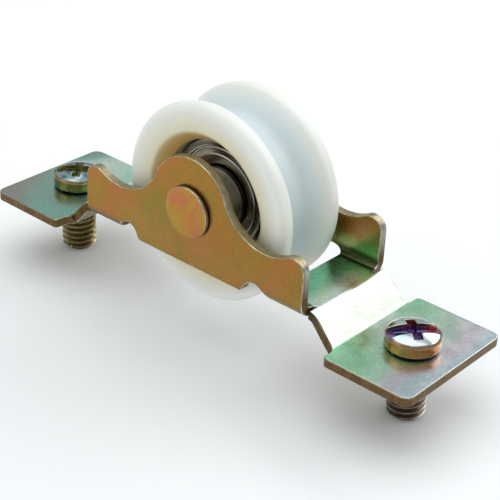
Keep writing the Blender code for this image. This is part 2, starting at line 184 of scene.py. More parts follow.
def arc(centre, radius, start, end, steps):
    """Points on a circle, from one angle to another in radians, both ends included."""
    turns = [start + (end - start) * i / steps for i in range(steps + 1)]
    return [(centre[0] + radius * cos(t), centre[1] + radius * sin(t)) for t in turns]


def angle_between(start, end):
    return atan2(end[1] - start[1], end[0] - start[0])


def centre_touching(first, first_distance, second, second_distance):
    """The point at the given distances from two others, on the left going from first to second."""
    span = dist(first, second)
    along = (first_distance**2 - second_distance**2 + span**2) / (2 * span)
    across = sqrt(first_distance**2 - along**2)
    ux = (second[0] - first[0]) / span
    uy = (second[1] - first[1]) / span
    return (first[0] + along * ux - across * uy, first[1] + along * uy + across * ux)


def mirrored_loop(quarter):
    """A closed clockwise outline from its first quarter, which runs from the Y to the X axis."""
    half = quarter + [(x, -y) for x, y in reversed(quarter)]
    loop = half + [(-x, y) for x, y in reversed(half)]
    return [p for i, p in enumerate(loop) if dist(p, loop[i - 1]) > 0.001 * MM]


def rounded(corners, closed=True, steps=4):
    """A profile whose corners are (radius, along, rounding): each is cut back by its rounding
    along both sides and the cut is filled with a curve."""
    points = []
    for i, (radius, along, rounding) in enumerate(corners):
        at_end = not closed and i in (0, len(corners) - 1)
        corner = Vector((radius, along))
        if rounding == 0 or at_end:
            points.append(tuple(corner))
            continue
        before = Vector(corners[i - 1][:2]) - corner
        after = Vector(corners[(i + 1) % len(corners)][:2]) - corner
        reach = min(rounding, 0.49 * before.length, 0.49 * after.length)
        start = corner + before.normalized() * reach
        end = corner + after.normalized() * reach
        for step in range(steps + 1):
            t = step / steps
            point = start * (1 - t) ** 2 + corner * 2 * t * (1 - t) + end * t**2
            points.append(tuple(point))
    return points


def join_rings(work, first, second):
    """Faces between two rings of vertices. A ring of one vertex closes to a point."""
    count = max(len(first), len(second))
    for i in range(count):
        j = (i + 1) % count
        corners = [first[i % len(first)], first[j % len(first)]]
        corners += [second[j % len(second)], second[i % len(second)]]
        corners = list(dict.fromkeys(corners))
        if len(corners) > 2:
            work.faces.new(corners)


def join_stack(work, rings):
    for first, second in zip(rings, rings[1:]):
        join_rings(work, first, second)


def smooth_mesh(name, work):
    mesh = bpy.data.meshes.new(name)
    work.to_mesh(mesh)
    work.free()
    mesh.shade_smooth()
    return mesh


def finished_mesh(name, work, sharp_degrees=50):
    """The mesh of a bmesh, smooth except at sharp edges."""
    bmesh.ops.recalc_face_normals(work, faces=work.faces)
    mesh = smooth_mesh(name, work)
    mesh.set_sharp_from_angle(angle=radians(sharp_degrees))
    return mesh


def add_object(name, mesh):
    obj = bpy.data.objects.new(name, mesh)
    bpy.context.scene.collection.objects.link(obj)
    return obj


def keep_flats_flat(obj):
    """Weights each vertex normal by face area, so that roundings don't shade the flats."""
    weighted = obj.modifiers.new("weighted normals", "WEIGHTED_NORMAL")
    weighted.keep_sharp = True
    return obj


def on_ring(radius, turn, y=0):
    """The place at a radius from the axle, after a turn from the X axis."""
    return (radius * cos(turn), y, AXLE_Z + radius * sin(turn))


def turned(name, profile, segments, closed=True):
    """A piece turned round the axle from (radius, place along Y) points, closed to a point at 0."""
    work = bmesh.new()
    turns = [tau * i / segments for i in range(segments)]
    rings = []
    for radius, along in profile:
        around = turns if radius > 0 else [0]
        rings.append([work.verts.new(on_ring(radius, t, along)) for t in around])
    join_stack(work, rings)
    if closed:
        join_rings(work, rings[-1], rings[0])
    return keep_flats_flat(add_object(name, finished_mesh(name, work)))


def on_side(profile, side):
    """A profile as it is with side 1, or mirrored to the other end with side -1."""
    return [(radius, side * along, rounding) for radius, along, rounding in profile]


def both_ends(half):
    """A whole profile from its +Y half, which runs from the middle outwards."""
    return on_side(reversed(half), -1) + half


# The bracket


def over_blank(z):
    """How far across the blank lies what ends up at height z on a cheek."""
    return z + BLANK_OVER_Z


def cheek_outline():
    """A quarter of the cheek's top edge on the blank: hump, valley, horn and straight end."""
    hump = (0.0, over_blank(AXLE_Z + HUMP_OVER_AXLE))
    horn = (CHEEK_HALF_LENGTH - HORN_RADIUS, over_blank(HORN_TOP - HORN_RADIUS))
    valley = centre_touching(hump, HUMP_RADIUS + VALLEY_RADIUS, horn, HORN_RADIUS + VALLEY_RADIUS)
    to_valley = angle_between(hump, valley)
    to_horn = angle_between(valley, horn)
    points = arc(hump, HUMP_RADIUS, pi / 2, to_valley, 24)
    points += arc(valley, VALLEY_RADIUS, to_valley - pi, to_horn, 30)[1:]
    points += arc(horn, HORN_RADIUS, to_horn + pi, 0, 20)[1:]
    return points


def blank_outline():
    """The blank's outer edge: cheek, slit, web and tab."""
    slit_end = BEND_START - SLIT_DEPTH
    slit_far = CHEEK_HALF_LENGTH + SLIT_WIDTH
    shoulder = TAB_START + BLANK_EXTRA
    end = HALF_LENGTH + BLANK_EXTRA
    fillet = (shoulder - WEB_FILLET, WEB_HALF_WIDTH + WEB_FILLET)
    inner = (shoulder + TAB_INNER_CORNER, TAB_HALF_WIDTH - TAB_INNER_CORNER)
    outer = (end - TAB_OUTER_CORNER, TAB_HALF_WIDTH - TAB_OUTER_CORNER)
    points = cheek_outline()
    points += [(CHEEK_HALF_LENGTH, slit_end), (slit_far, slit_end), (slit_far, WEB_HALF_WIDTH)]
    points += arc(fillet, WEB_FILLET, -pi / 2, 0, 10)
    points += arc(inner, TAB_INNER_CORNER, pi, pi / 2, 8)
    points += arc(outer, TAB_OUTER_CORNER, pi / 2, 0, 12)
    return mirrored_loop(points + [(end, 0)])


def window_outline():
    """The wheel's window, with a round relief where each cheek's bend begins."""
    foot = over_blank(CHEEK_FOOT)
    relief = (WINDOW_HALF_LENGTH - RELIEF_RADIUS, foot)
    corner = 0.5 * MM
    points = [(0, foot), (relief[0] - RELIEF_RADIUS - corner, foot)]
    points += arc(relief, RELIEF_RADIUS, pi - corner / RELIEF_RADIUS, 0, 24)
    return mirrored_loop(points + [(WINDOW_HALF_LENGTH, 0)])


def round_hole(centre, radius):
    """A clockwise circle."""
    return arc(centre, radius, tau, 0, 48)[:-1]


def moved_left(loop, distance):
    """A loop moved to its left, where the sheet is: each point with the direction outwards."""
    moved = []
    for i, point in enumerate(loop):
        here = Vector(point)
        back = (here - Vector(loop[i - 1])).normalized().orthogonal()
        ahead = (Vector(loop[(i + 1) % len(loop)]) - here).normalized().orthogonal()
        left = back + ahead
        moved.append((here + left * distance / (1 + back.dot(ahead)), -left.normalized()))
    return moved


def edge_stations(steps=3):
    """Across a rounded edge from underside to top: (inset, height, share of the normal outwards,
    share upwards)."""
    turns = [pi / 2 * i / steps for i in range(steps + 1)]
    top = []
    for turn in turns:
        inset = EDGE_ROUNDING * (1 - cos(turn))
        height = HALF_SHEET - EDGE_ROUNDING * (1 - sin(turn))
        top.append((inset, height, cos(turn), sin(turn)))
    under = [(inset, -height, out, -up) for inset, height, out, up in reversed(top)]
    return under + top


def flat_blank():
    """The blank before folding, with rounded edges, as a bmesh. Each vertex keeps its flat normal
    and how far it is part of the cut edge."""
    screw_x = SCREW_X + BLANK_EXTRA
    axle_y = over_blank(AXLE_Z)
    loops = [list(reversed(blank_outline())), window_outline()]
    loops += [round_hole((side * screw_x, 0), THREAD_RADIUS + GAP) for side in (-1, 1)]
    loops += [round_hole((0, side * axle_y), PIN_RADIUS + GAP) for side in (-1, 1)]
    work = bmesh.new()
    flat_normal = work.verts.layers.float_vector.new("flat_normal")
    cut_edge = work.verts.layers.float.new("cut_edge")
    caps = {"under": [], "top": []}
    for loop in loops:
        rings = []
        for inset, height, out, up in edge_stations():
            ring = []
            for place, outwards in moved_left(loop, inset):
                vertex = work.verts.new((*place, height))
                vertex[flat_normal] = (*(outwards * out), up)
                vertex[cut_edge] = out
                ring.append(vertex)
            rings.append(ring)
        join_stack(work, rings)
        caps["under"].append(rings[0])
        caps["top"].append(rings[-1])
    for rings in caps.values():
        edges = [work.edges.get((ring[i - 1], ring[i])) for ring in rings for i in range(len(ring))]
        bmesh.ops.triangle_fill(work, edges=edges, use_beauty=True)
    bmesh.ops.recalc_face_normals(work, faces=work.faces)
    return work


def cut_at_bends(work):
    """Adds edges across the blank wherever a bend starts, turns or ends."""
    cheek_lines = [BEND_START + BEND_ARC * i / CHEEK_BEND_STEPS for i in range(CHEEK_BEND_STEPS + 1)]
    jog_starts = (JOG_START, JOG_START + JOG_ARC + JOG_STRAIGHT)
    jog_steps = range(JOG_BEND_STEPS + 1)
    jog_lines = [start + JOG_ARC * i / JOG_BEND_STEPS for start in jog_starts for i in jog_steps]
    lines = [((0, 1, 0), y) for y in cheek_lines] + [((1, 0, 0), x) for x in jog_lines]
    for normal, distance in lines:
        for side in (-1, 1):
            geometry = work.verts[:] + work.edges[:] + work.faces[:]
            place = Vector(normal) * distance * side
            bmesh.ops.bisect_plane(work, geom=geometry, plane_co=place, plane_no=normal)


def fold_cheek(along, across, height):
    """Where a point of the blank goes as its cheek is folded up, and how it is turned."""
    side = copysign(1, across)
    reach = abs(across)
    window_part = abs(along) < WINDOW_HALF_LENGTH - RELIEF_RADIUS
    if reach >= CHEEK_START or (window_part and reach > BEND_START):
        turn = pi / 2
        place = (along, side * (CHEEK_OUTSIDE - HALF_SHEET - height), reach - BLANK_OVER_Z)
    elif reach <= BEND_START:
        turn = 0
        place = (along, across, BASE_RISE + HALF_SHEET + height)
    else:
        turn = (reach - BEND_START) / BEND_MIDDLE
        radius = BEND_MIDDLE - height
        y = BEND_START + radius * sin(turn)
        place = (along, side * y, BEND_CENTRE_Z - radius * cos(turn))
    return Vector(place), Matrix.Rotation(side * turn, 3, "X")


def fold_web(along, across, height):
    """Where a point of the blank goes as the web is jogged down to the tab, and how it is turned."""
    side = copysign(1, along)
    reach = abs(along) - JOG_START
    low = JOG_BLANK - reach
    turn = 0
    if reach <= 0:
        x, z = reach, BASE_RISE + height
    elif reach < JOG_ARC:
        turn = reach / BEND_MIDDLE
        x = (BEND_MIDDLE + height) * sin(turn)
        z = BASE_RISE - BEND_MIDDLE + (BEND_MIDDLE + height) * cos(turn)
    elif reach <= JOG_ARC + JOG_STRAIGHT:
        turn = WEB_SLOPE
        slope = reach - JOG_ARC
        x = JOG_RUN + slope * cos(turn) + height * sin(turn)
        z = BASE_RISE - JOG_DROP - slope * sin(turn) + height * cos(turn)
    elif reach < JOG_BLANK:
        turn = low / BEND_MIDDLE
        x = JOG_LENGTH - (BEND_MIDDLE - height) * sin(turn)
        z = BEND_MIDDLE - (BEND_MIDDLE - height) * cos(turn)
    else:
        x, z = reach - BLANK_EXTRA, height
    place = Vector((side * (JOG_START + x), across, z + HALF_SHEET))
    return place, Matrix.Rotation(side * turn, 3, "Y")


def make_bracket():
    work = flat_blank()
    cut_at_bends(work)
    flat_normal = work.verts.layers.float_vector["flat_normal"]
    cheek_end = CHEEK_HALF_LENGTH + SLIT_WIDTH / 2
    normals = []
    for vertex in work.verts:
        fold = fold_cheek if abs(vertex.co.x) < cheek_end else fold_web
        vertex.co, turn = fold(*vertex.co)
        normals.append((turn @ vertex[flat_normal]).normalized())
    work.verts.layers.float_vector.remove(flat_normal)
    mesh = smooth_mesh("bracket_sheet", work)
    mesh.normals_split_custom_set_from_vertices(normals)
    return add_object("bracket_sheet", mesh)


# The wheel and its bearing


def make_wheel():
    """Moulded in one piece: rim, groove, dished faces and a stepped bore."""
    rim = 1.3 * MM
    floor_half = 1.75 * MM
    mouth_half = 4.5 * MM
    shoulder = BEARING_HALF_WIDTH + GAP
    bore = BEARING_RADIUS + GAP
    bore_end = 4.4 * MM
    recess = 11.4 * MM
    recess_y = 6.6 * MM
    dish = 0.4 * MM
    edge = arc((WHEEL_HALF_WIDTH - rim, WHEEL_RADIUS - rim), rim, pi / 2, 0, 10)
    half = [(GROOVE_RADIUS, floor_half, 0.7 * MM), (WHEEL_RADIUS, mouth_half, 0.55 * MM)]
    half += [(radius, y, 0) for y, radius in edge]
    half += [(recess, recess_y, dish)]
    outer = both_ends(half)
    lip = bore - MM
    far = [(lip, bore_end, 0.2 * MM), (lip, shoulder, 0.1 * MM), (bore, shoulder, 0)]
    near = [(bore, -bore_end, 0.25 * MM)]
    return turned("wheel_moulding", rounded(outer + far + near, steps=6), 160)


def race_arc(side, steps=14):
    """The ball groove's arc of a ring, seen from the ring: side is 1 outside the balls, -1 inside."""
    reach = acos(SHOULDER_OFFSET / RACE_RADIUS)
    points = arc((0, 0), RACE_RADIUS, -reach, reach, steps)
    return [(PITCH_RADIUS + side * x, y, 0) for x, y in points]


def make_outer_ring():
    width = BEARING_HALF_WIDTH
    seat = width - SHIELD_SEAT_DEPTH
    land = PITCH_RADIUS + SHOULDER_OFFSET
    corner = 0.35 * MM
    fine = 0.08 * MM
    side = [(SHIELD_SEAT_RADIUS, width, fine), (SHIELD_SEAT_RADIUS, seat, fine), (land, seat, fine)]
    profile = [(BEARING_RADIUS, -width, corner), (BEARING_RADIUS, width, corner)] + side
    profile += reversed(race_arc(1))
    profile += on_side(reversed(side), -1)
    return turned("outer_ring_ground", rounded(profile), 128)


def make_inner_ring():
    width = BEARING_HALF_WIDTH
    land = PITCH_RADIUS - SHOULDER_OFFSET
    bore = PIN_RADIUS + GAP
    corner = 0.3 * MM
    profile = [(land, -width, corner / 3)] + race_arc(-1) + [(land, width, corner / 3)]
    profile += [(bore, width, corner), (bore, -width, corner)]
    return turned("inner_ring_ground", rounded(profile), 96)


def make_shield(name, side):
    """A pressed ring: a rolled outer edge in the ring's seat, then a step in towards the balls."""
    face = BEARING_HALF_WIDTH - 0.1 * MM
    step = 0.22 * MM
    bead = 0.3 * MM
    outer = SHIELD_SEAT_RADIUS - 0.12 * MM
    inner = PITCH_RADIUS - SHOULDER_OFFSET + GAP
    low = face - bead / 2
    front = [
        (outer, low, 0),
        (outer - bead / 2, face, bead / 2),
        (outer - bead, low, bead / 3),
        (SHIELD_STEP_RADIUS + bead / 2, low, bead / 3),
        (SHIELD_STEP_RADIUS, face, bead / 2),
        (SHIELD_STEP_RADIUS - bead / 2, low - step, step / 2),
        (inner, low - step, 0.08 * MM),
    ]
    back = [(radius, y - SHIELD_THICKNESS, rounding) for radius, y, rounding in reversed(front)]
    return turned(name + "_pressing", rounded(on_side(front + back, side)), 128)


def ball_turn(i):
    return pi / 2 + tau * i / BALL_COUNT


def make_ball(i):
    """A ball with the faint band that a ball's flash leaves once it is ground away."""
    turn = ball_turn(i)
    work = bmesh.new()
    bmesh.ops.create_uvsphere(work, u_segments=64, v_segments=40, radius=BALL_RADIUS)
    for vertex in work.verts:
        height = vertex.co.z / BALL_RADIUS
        vertex.co *= 1 - 0.002 * exp(-((height / 0.06) ** 2))
    bmesh.ops.rotate(work, verts=work.verts, matrix=Matrix.Rotation(turn, 3, "X"))
    bmesh.ops.translate(work, verts=work.verts, vec=on_ring(PITCH_RADIUS, turn))
    name = f"ball_{i + 1}_lapped"
    return add_object(name, finished_mesh(name, work, 180))


def cage_lift(turn, radius, thickness):
    """How far from the bearing's middle the ribbon's surface is: flat between the balls, and
    bulged round each ball's pocket."""
    flat = CAGE_SPLIT + thickness
    spacing = tau / BALL_COUNT
    off = (turn - pi / 2 + spacing / 2) % spacing - spacing / 2
    aside = PITCH_RADIUS * sin(off)
    distance = hypot(aside, radius - PITCH_RADIUS * cos(off))
    bulge = sqrt(max(0, (POCKET_RADIUS + thickness) ** 2 - distance**2))
    soft = 0.12 * MM
    return flat + hypot(max(0, bulge - flat), soft) - soft if bulge > flat else flat


def make_cage_half(name, side):
    """Half of the ribbon cage: a strip that bulges over each ball, with a rivet between balls."""
    segments = 40 * BALL_COUNT
    turns = [pi / 2 + tau * (i + 0.5) / segments for i in range(segments)]
    edge = 0.08 * MM
    inner, outer = PITCH_RADIUS - CAGE_HALF_BAND, PITCH_RADIUS + CAGE_HALF_BAND
    middles = [inner + (outer - inner) * i / 6 for i in range(7)]
    section = [(inner, edge)] + [(r, 0) for r in middles] + [(outer, edge)]
    section += [(outer, CAGE_SHEET - edge)] + [(r, CAGE_SHEET) for r in reversed(middles)]
    section += [(inner, CAGE_SHEET - edge)]
    work = bmesh.new()
    rings = []
    for turn in turns:
        ring = []
        for radius, thickness in section:
            y = side * cage_lift(turn, radius, thickness)
            ring.append(work.verts.new(on_ring(radius, turn, y)))
        rings.append(ring)
    for i, ring in enumerate(rings):
        join_rings(work, ring, rings[(i + 1) % segments])
    for i in range(BALL_COUNT):
        add_cage_rivet(work, ball_turn(i + 0.5), side)
    return keep_flats_flat(add_object(name + "_ribbon", finished_mesh(name, work)))


def add_cage_rivet(work, turn, side):
    """A small domed rivet head on the flat between two pockets."""
    radius = 0.38 * MM
    steps = 6
    base = CAGE_SPLIT + CAGE_SHEET - 0.02 * MM
    centre = Vector(on_ring(PITCH_RADIUS, turn))
    rings = []
    for step in range(steps + 1):
        lean = pi / 2 * step / steps
        y = side * (base + 0.25 * MM * sin(lean))
        reach = radius * cos(lean)
        count = 1 if step == steps else 20
        around = [tau * i / count for i in range(count)]
        places = [centre + Vector((reach * cos(t), y, reach * sin(t))) for t in around]
        rings.append([work.verts.new(place) for place in places])
    join_stack(work, rings)
    work.faces.new(rings[0])


# The axle


def make_spacer(name, side):
    """A turned collar between a cheek and the bearing's inner ring."""
    bore = PIN_RADIUS + GAP
    ring_end = BEARING_HALF_WIDTH + HEAD_GAP
    cheek_end = CHEEK_INSIDE - HEAD_GAP
    corner = 0.25 * MM
    profile = [(SPACER_RADIUS, ring_end, corner), (SPACER_RADIUS, cheek_end, corner)]
    profile += [(bore, cheek_end, corner), (bore, ring_end, corner)]
    return turned(name + "_collar", rounded(on_side(profile, side)), 96)


def make_rivet():
    """The pin with the low-domed head set on each end. The head's side is marked as an edge."""
    under = CHEEK_OUTSIDE + HEAD_GAP
    face = under + RIVET_HEAD
    dome = 0.06 * MM
    rounding = 0.28 * MM
    half = [(PIN_RADIUS, under, 0.1 * MM), (RIVET_HEAD_RADIUS, under, 0.12 * MM)]
    half += [(RIVET_HEAD_RADIUS, face - dome, rounding), (0.5 * RIVET_HEAD_RADIUS, face, MM)]
    half += [(0, face, 0)]
    piece = turned("axle_rivet_set", rounded(both_ends(half), closed=False), 96, closed=False)
    cut_edge = piece.data.attributes.new("cut_edge", "FLOAT", "POINT")
    for vertex, value in zip(piece.data.vertices, cut_edge.data):
        inset = RIVET_HEAD_RADIUS - hypot(vertex.co.x, vertex.co.z - AXLE_Z)
        value.value = max(0, 1 - inset / rounding)
    return piece


# The screws


def past(place, half, taper=1.0):
    """How far a place is outside a recess's side, negative inside, where a sloped side counts
    for less."""
    distance = abs(place) - half
    return distance if distance > 0 else distance * taper


def sunk(level, outside, floor):
    """The height near a recess with rounded edges and slightly sloped walls."""
    edge = RECESS_ROUNDING
    if outside >= edge:
        return level
    lip = level - edge
    if outside >= 0:
        return lip + sqrt(edge**2 - (edge - outside) ** 2)
    return max(floor, lip + (lip - floor) * outside / RECESS_DRAFT) if lip > floor else level


def crown_height(radius):
    """The height of a screw's head without its recesses: crowned, with a rounded shoulder."""
    crown = HEAD_HEIGHT - (HEAD_HEIGHT - HEAD_SIDE) * (radius / HEAD_RADIUS) ** CROWN_POWER
    inside = max(0, HEAD_RADIUS - radius)
    if inside < HEAD_SHOULDER:
        crown -= HEAD_SHOULDER - sqrt(HEAD_SHOULDER**2 - (HEAD_SHOULDER - inside) ** 2)
    return crown


def head_height(u, v):
    """The height of a screw's head at u along its slot and v across it, from its underside."""
    crown = crown_height(hypot(u, v))
    slotted = sunk(crown, past(v, SLOT_WIDTH / 2), HEAD_HEIGHT - SLOT_DEPTH)
    along = max(past(v, CROSS_WIDTH / 2), past(u, CROSS_LENGTH / 2, CROSS_END_TAPER))
    over = max(past(u, CROSS_WIDTH / 2), past(v, CROSS_LENGTH / 2, CROSS_END_TAPER))
    return sunk(slotted, min(along, over), HEAD_HEIGHT - CROSS_DEPTH)


def head_plan():
    """The points and lines of a head's top, in millimetres, from above: rings that crowd towards
    the shoulder, and lines along each recess's rounded edge, its wall and its foot."""
    radius = HEAD_RADIUS / MM
    ring_radii = (0.8, 1.5, 2.1, 2.6, 3.0, 3.3, 3.55, 3.7, 3.82, 3.93, 4.02, 4.09, 4.14, 4.175)
    edge_offsets = (0.12, 0.08, 0.04, 0.015, 0.0, -0.12)
    points = []
    lines = []

    def add_line(places):
        first = len(points)
        points.extend(Vector(place) for place in places)
        lines.extend((first + i, first + i + 1) for i in range(len(places) - 1))

    rim = arc((0, 0), radius, 0, tau, 120)[:-1]
    points.extend(Vector(place) for place in rim)
    for ring in ring_radii:
        add_line(arc((0, 0), ring, 0, tau, 90))
    for offset in edge_offsets:
        v = SLOT_WIDTH / MM / 2 + offset
        reach = sqrt(radius**2 - v**2)
        half = CROSS_WIDTH / MM / 2 + offset
        end = CROSS_LENGTH / MM / 2 + (offset if offset > 0 else offset / CROSS_END_TAPER)
        for side in (-1, 1):
            add_line([(-reach, side * v), (reach, side * v)])
        for x, y in ((end, half), (half, end)):
            add_line([(-x, -y), (x, -y), (x, y), (-x, y), (-x, -y)])
    return points, lines


def thread_rings(work, turns):
    """Rings of vertices down a right-hand thread from the underside of the head to the tip. Each
    ring follows the helix, and stops at the two ends."""
    crest_to_crest = ((0, 0.08), (0.03, 0), (0.095, 0), (0.125, 0.08))
    crest_to_crest += ((0.4, 0.94), (0.44, 1), (0.685, 1), (0.725, 0.94))
    per_turn = len(crest_to_crest)
    count = int(per_turn * (SCREW_LENGTH / THREAD_PITCH + 1)) + 1
    root = THREAD_RADIUS - THREAD_DEPTH
    tip = -SCREW_LENGTH
    rings = []
    for row in range(count + 1):
        share, depth = crest_to_crest[row % per_turn]
        ring = []
        for turn in turns:
            down = row // per_turn + share - turn / tau
            z = min(0, max(tip, -down * THREAD_PITCH))
            run_out = min(1, -z / (0.6 * MM))
            radius = root + (THREAD_DEPTH * (1 - depth)) * run_out
            radius = min(radius, THREAD_RADIUS - TIP_CHAMFER + z - tip)
            ring.append(work.verts.new((radius * cos(turn), radius * sin(turn), z)))
        rings.append(ring)
    last = len(turns) - 1
    for row in range(count):
        for i in range(last + 1):
            ahead = row if i < last else max(row - per_turn, 0)
            below = row + 1 if i < last else max(row + 1 - per_turn, 0)
            j = (i + 1) % (last + 1)
            corners = [rings[row][i], rings[ahead][j], rings[below][j], rings[row + 1][i]]
            corners = list(dict.fromkeys(corners))
            if len(corners) > 2:
                work.faces.new(corners)
    work.faces.new(rings[-1])
    return rings


def make_screw(side_name, side):
    """A crowned head with a slot right across it and a cross recess, on a cut thread."""
    name = "screw_" + side_name
    work = bmesh.new()
    recess = work.verts.layers.float.new("recess")
    points, lines = head_plan()
    plan = delaunay_2d_cdt(points, lines, [], 0, 1e-4)
    top = []
    for point in plan[0]:
        u, v = point * MM
        height = head_height(u, v)
        vertex = work.verts.new((u, v, height))
        vertex[recess] = 1.0 if height < crown_height(hypot(u, v)) - 0.3 * MM else 0.0
        top.append(vertex)
    for face in plan[2]:
        work.faces.new([top[i] for i in face])
    rim = [v for v in top if hypot(v.co.x, v.co.y) > HEAD_RADIUS - 0.002 * MM]
    turns = sorted(atan2(v.co.y, v.co.x) % tau for v in rim)
    rim.sort(key=lambda v: atan2(v.co.y, v.co.x) % tau)
    waist = HEAD_RADIUS - 0.07 * MM
    by_waist = HEAD_RADIUS - 0.042 * MM
    side_profile = [(by_waist, 1.35 * MM), (waist, 1.0 * MM), (by_waist, 0.6 * MM)]
    side_profile += arc((HEAD_RADIUS - HEAD_FOOT, HEAD_FOOT), HEAD_FOOT, 0, -pi / 2, 4)
    rings = [rim]
    for radius, z in side_profile:
        rings.append([work.verts.new((radius * cos(t), radius * sin(t), z)) for t in turns])
    thread = thread_rings(work, turns)
    rings.append(thread[0])
    join_stack(work, rings)
    bmesh.ops.remove_doubles(work, verts=work.verts, dist=0.002 * MM)
    bmesh.ops.rotate(work, verts=work.verts, matrix=Matrix.Rotation(SLOT_TURNS[side_name], 3, "Z"))
    bmesh.ops.translate(work, verts=work.verts, vec=(side * SCREW_X, 0, SHEET + GAP))
    return keep_flats_flat(add_object(name + "_cut", finished_mesh(name, work, 40)))


# Materials


def blank_material(name):
    made = bpy.data.materials.new(name)
    made.use_nodes = True
    return made, made.node_tree, made.node_tree.nodes["Principled BSDF"]


def add_node(tree, kind, inputs=None, **settings):
    """A node with its settings, and its inputs given as values or as other nodes' outputs."""
    made = tree.nodes.new("ShaderNode" + kind)
    for setting, value in settings.items():
        setattr(made, setting, value)
    for socket, value in (inputs or {}).items():
        if isinstance(value, bpy.types.NodeSocket):
            tree.links.new(value, made.inputs[socket])
        else:
            made.inputs[socket].default_value = value
    return made


def noise(tree, place, scale, detail=2.0, distortion=0.0):
    inputs = {"Vector": place, "Scale": scale, "Detail": detail, "Distortion": distortion}
    return add_node(tree, "TexNoise", inputs).outputs["Fac"]


def maths(tree, operation, first, second=0.0):
    return add_node(tree, "Math", {0: first, 1: second}, operation=operation).outputs[0]


def spread(tree, value, low, high, to_low=0.0, to_high=1.0):
    """value mapped smoothly from low-high to another range."""
    inputs = {"Value": value, "From Min": low, "From Max": high, "To Min": to_low, "To Max": to_high}
    return add_node(tree, "MapRange", inputs, interpolation_type="SMOOTHSTEP").outputs["Result"]


def ramp(tree, value, stops):
    """A colour ramp from (place, linear colour) stops."""
    made = add_node(tree, "ValToRGB", {"Fac": value})
    elements = made.color_ramp.elements
    while len(elements) < len(stops):
        elements.new(0.5)
    for element, (place, colour) in zip(elements, stops):
        element.position = place
        element.color = (*colour, 1)
    return made.outputs["Color"]


def mixed(tree, share, first, second, blend="MIX"):
    """Two colours mixed, each a (red, green, blue) or a node's output."""
    inputs = {0: share, 6: first, 7: second}
    inputs = {i: (*v, 1) if isinstance(v, tuple) else v for i, v in inputs.items()}
    return add_node(tree, "Mix", inputs, data_type="RGBA", blend_type=blend).outputs[2]


def bumped(tree, shader, height, depth, strength=1.0):
    inputs = {"Height": height, "Distance": depth, "Strength": strength}
    made = add_node(tree, "Bump", inputs)
    tree.links.new(made.outputs["Normal"], shader.inputs["Normal"])


def object_place(tree):
    return add_node(tree, "TexCoord").outputs["Object"]


def attribute(tree, name):
    return add_node(tree, "Attribute", attribute_name=name).outputs["Fac"]


def axes_of(tree, place):
    parts = add_node(tree, "SeparateXYZ", {"Vector": place}).outputs
    return parts["X"], parts["Y"], parts["Z"]


def distances(tree, place):
    """How far a place is from the middle along and across the strip, and its height."""
    x, y, z = axes_of(tree, place)
    return maths(tree, "ABSOLUTE", x), maths(tree, "ABSOLUTE", y), z


def product(tree, *shares):
    made = shares[0]
    for share in shares[1:]:
        made = maths(tree, "MULTIPLY", made, share)
    return made


def length_of(tree, parts):
    """The length of a vector given by its parts."""
    vector = add_node(tree, "CombineXYZ", parts).outputs[0]
    return add_node(tree, "VectorMath", {0: vector}, operation="LENGTH").outputs["Value"]


def upwards(tree):
    """The upward part of a surface's normal: 1 facing up, 0 upright, -1 facing down."""
    return axes_of(tree, add_node(tree, "TexCoord").outputs["Normal"])[2]


def level_share(tree):
    """1 where a surface faces straight up or down, 0 where it is upright."""
    return maths(tree, "ABSOLUTE", upwards(tree))


def worn_rim(tree, edge):
    """1 on the rounding between a face and its cut edge."""
    return product(tree, spread(tree, edge, 0.1, 0.5), spread(tree, edge, 0.8, 0.98, 1, 0))


def metal_finish(tree, shader, colour, roughness):
    tree.links.new(colour, shader.inputs["Base Color"])
    tree.links.new(roughness, shader.inputs["Roughness"])
    shader.inputs["Metallic"].default_value = 1.0


def on_rivet_head(tree, across):
    """1 on the rivet's heads, which alone of the plated pieces stand out past the cheeks."""
    return spread(tree, across, CHEEK_OUTSIDE + GAP, CHEEK_OUTSIDE + 2 * GAP)


def upright_film_and_reflection(tree, place):
    """Brown-gold with faint green and pink blotches, brighter on the rivet's heads, and green low
    down inside the cheeks, partly film colour and partly a painted reflection of the green base."""
    along, across, z = distances(tree, place)
    stops = [(0.3, (0.305, 0.205, 0.044)), (0.5, (0.39, 0.19, 0.042)), (0.7, (0.44, 0.17, 0.054))]
    colour = ramp(tree, noise(tree, place, 95, 2.5, 0.8), stops)
    stops = [(0.34, (0.8, 1.0, 0.75)), (0.5, (0.95, 0.95, 0.9)), (0.68, (1.0, 0.84, 1.0))]
    blotches = ramp(tree, noise(tree, place, 420, 2, 0.6), stops)
    colour = mixed(tree, 0.5, colour, blotches, "MULTIPLY")
    stops = [(0.32, (0.44, 0.27, 0.042)), (0.5, (0.48, 0.24, 0.05)), (0.66, (0.5, 0.185, 0.07))]
    rivet_head = ramp(tree, noise(tree, place, 260, 2, 0.6), stops)
    colour = mixed(tree, on_rivet_head(tree, across), colour, rivet_head)
    # green low inside the cheeks: partly film colour, partly a painted reflection of the green base
    inside = spread(tree, across, CHEEK_INSIDE, CHEEK_OUTSIDE, 1.0, 0.08)
    low = spread(tree, z, 0.4 * HORN_TOP, HORN_TOP, 1, 0)
    painted_reflection_patch = spread(tree, noise(tree, place, 150, 1.5), 0.35, 0.55)
    return mixed(tree, product(tree, inside, low, painted_reflection_patch), colour, (0.33, 0.56, 0.2))


